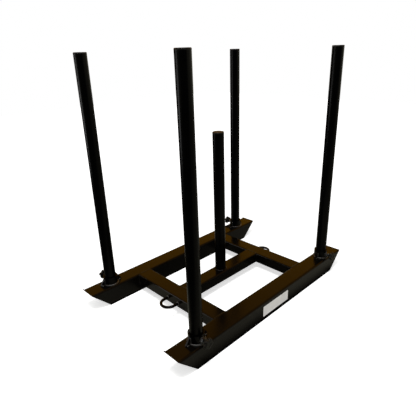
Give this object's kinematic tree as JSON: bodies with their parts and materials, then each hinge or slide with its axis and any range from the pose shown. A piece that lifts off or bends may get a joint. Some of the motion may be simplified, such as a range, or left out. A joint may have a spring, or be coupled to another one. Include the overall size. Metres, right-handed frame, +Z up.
{
  "type": "drag sled",
  "caption": "Steel drag sled on two ski runners, with removable upright push posts locked by star knobs, a fixed post for weight plates and a tow eye at each end.",
  "frame": {"origin": "on the ground, midway between the runners and midway along them", "axes": "+X to the sled's right, the side with the blank plate; +Y to its rear; +Z up"},
  "size_m": [0.6844, 1.0664, 1.033],
  "materials": {
    "black_coat": "glossy black powder coat",
    "black_plastic": "satin black moulded plastic",
    "zinc": "bright zinc plate",
    "brass": "turned brass",
    "white_plate": "blank white plate"
  },
  "bodies": {
    "sled_frame": {"left_runner": "black_coat", "right_runner": "black_coat", "left_skid_plate": "black_coat", "right_skid_plate": "black_coat", "front_crossmember": "black_coat", "rear_crossmember": "black_coat", "centre_beam": "black_coat", "frame_welds": "black_coat", "weight_post": "black_coat", "weight_post_cap": "black_plastic", "foot_welds": "black_coat", "front_left_socket": "black_coat", "front_left_gussets": "black_coat", "front_left_nut": "zinc", "front_right_socket": "black_coat", "front_right_gussets": "black_coat", "front_right_nut": "zinc", "rear_left_socket": "black_coat", "rear_left_gussets": "black_coat", "rear_left_nut": "zinc", "rear_right_socket": "black_coat", "rear_right_gussets": "black_coat", "rear_right_nut": "zinc", "front_tow_eye": "black_coat", "rear_tow_eye": "black_coat", "side_plate": "white_plate"},
    "front_left_post": {"front_left_push_post": "black_coat", "front_left_post_cap": "black_plastic"},
    "front_left_thrust_pad": {"front_left_pad": "brass"},
    "front_left_lock": {"front_left_screw": "zinc", "front_left_knob": "black_plastic"},
    "front_right_post": {"front_right_push_post": "black_coat", "front_right_post_cap": "black_plastic"},
    "front_right_thrust_pad": {"front_right_pad": "brass"},
    "front_right_lock": {"front_right_screw": "zinc", "front_right_knob": "black_plastic"},
    "rear_left_post": {"rear_left_push_post": "black_coat", "rear_left_post_cap": "black_plastic"},
    "rear_left_thrust_pad": {"rear_left_pad": "brass"},
    "rear_left_lock": {"rear_left_screw": "zinc", "rear_left_knob": "black_plastic"},
    "rear_right_post": {"rear_right_push_post": "black_coat", "rear_right_post_cap": "black_plastic"},
    "rear_right_thrust_pad": {"rear_right_pad": "brass"},
    "rear_right_lock": {"rear_right_screw": "zinc", "rear_right_knob": "black_plastic"}
  },
  "joints": [
    {"name": "front_left_post_lift", "type": "slide", "parent": "sled_frame", "child": "front_left_post", "axis": [0, 0, 1], "range_m": [0, 0.13]},
    {"name": "front_left_pad_slide", "type": "slide", "parent": "sled_frame", "child": "front_left_thrust_pad", "axis": [-1, 0, 0], "range_m": [0, 0.0046]},
    {"name": "front_left_knob_turn", "type": "hinge", "parent": "front_left_thrust_pad", "child": "front_left_lock", "pos_m": [-0.342, -0.416, 0.1], "axis": [-1, 0, 0], "range_deg": [0, 1080]},
    {"name": "front_right_post_lift", "type": "slide", "parent": "sled_frame", "child": "front_right_post", "axis": [0, 0, 1], "range_m": [0, 0.13]},
    {"name": "front_right_pad_slide", "type": "slide", "parent": "sled_frame", "child": "front_right_thrust_pad", "axis": [1, 0, 0], "range_m": [0, 0.0046]},
    {"name": "front_right_knob_turn", "type": "hinge", "parent": "front_right_thrust_pad", "child": "front_right_lock", "pos_m": [0.342, -0.416, 0.1], "axis": [1, 0, 0], "range_deg": [0, 1080]},
    {"name": "rear_left_post_lift", "type": "slide", "parent": "sled_frame", "child": "rear_left_post", "axis": [0, 0, 1], "range_m": [0, 0.13]},
    {"name": "rear_left_pad_slide", "type": "slide", "parent": "sled_frame", "child": "rear_left_thrust_pad", "axis": [-1, 0, 0], "range_m": [0, 0.0046]},
    {"name": "rear_left_knob_turn", "type": "hinge", "parent": "rear_left_thrust_pad", "child": "rear_left_lock", "pos_m": [-0.342, 0.416, 0.1], "axis": [-1, 0, 0], "range_deg": [0, 1080]},
    {"name": "rear_right_post_lift", "type": "slide", "parent": "sled_frame", "child": "rear_right_post", "axis": [0, 0, 1], "range_m": [0, 0.13]},
    {"name": "rear_right_pad_slide", "type": "slide", "parent": "sled_frame", "child": "rear_right_thrust_pad", "axis": [1, 0, 0], "range_m": [0, 0.0046]},
    {"name": "rear_right_knob_turn", "type": "hinge", "parent": "rear_right_thrust_pad", "child": "rear_right_lock", "pos_m": [0.342, 0.416, 0.1], "axis": [1, 0, 0], "range_deg": [0, 1080]}
  ],
  "couplings": [
    {"joint": "front_left_pad_slide", "follows": "front_left_knob_turn", "m_per_rad": 0.00023873},
    {"joint": "front_right_pad_slide", "follows": "front_right_knob_turn", "m_per_rad": 0.00023873},
    {"joint": "rear_left_pad_slide", "follows": "rear_left_knob_turn", "m_per_rad": 0.00023873},
    {"joint": "rear_right_pad_slide", "follows": "rear_right_knob_turn", "m_per_rad": 0.00023873}
  ]
}
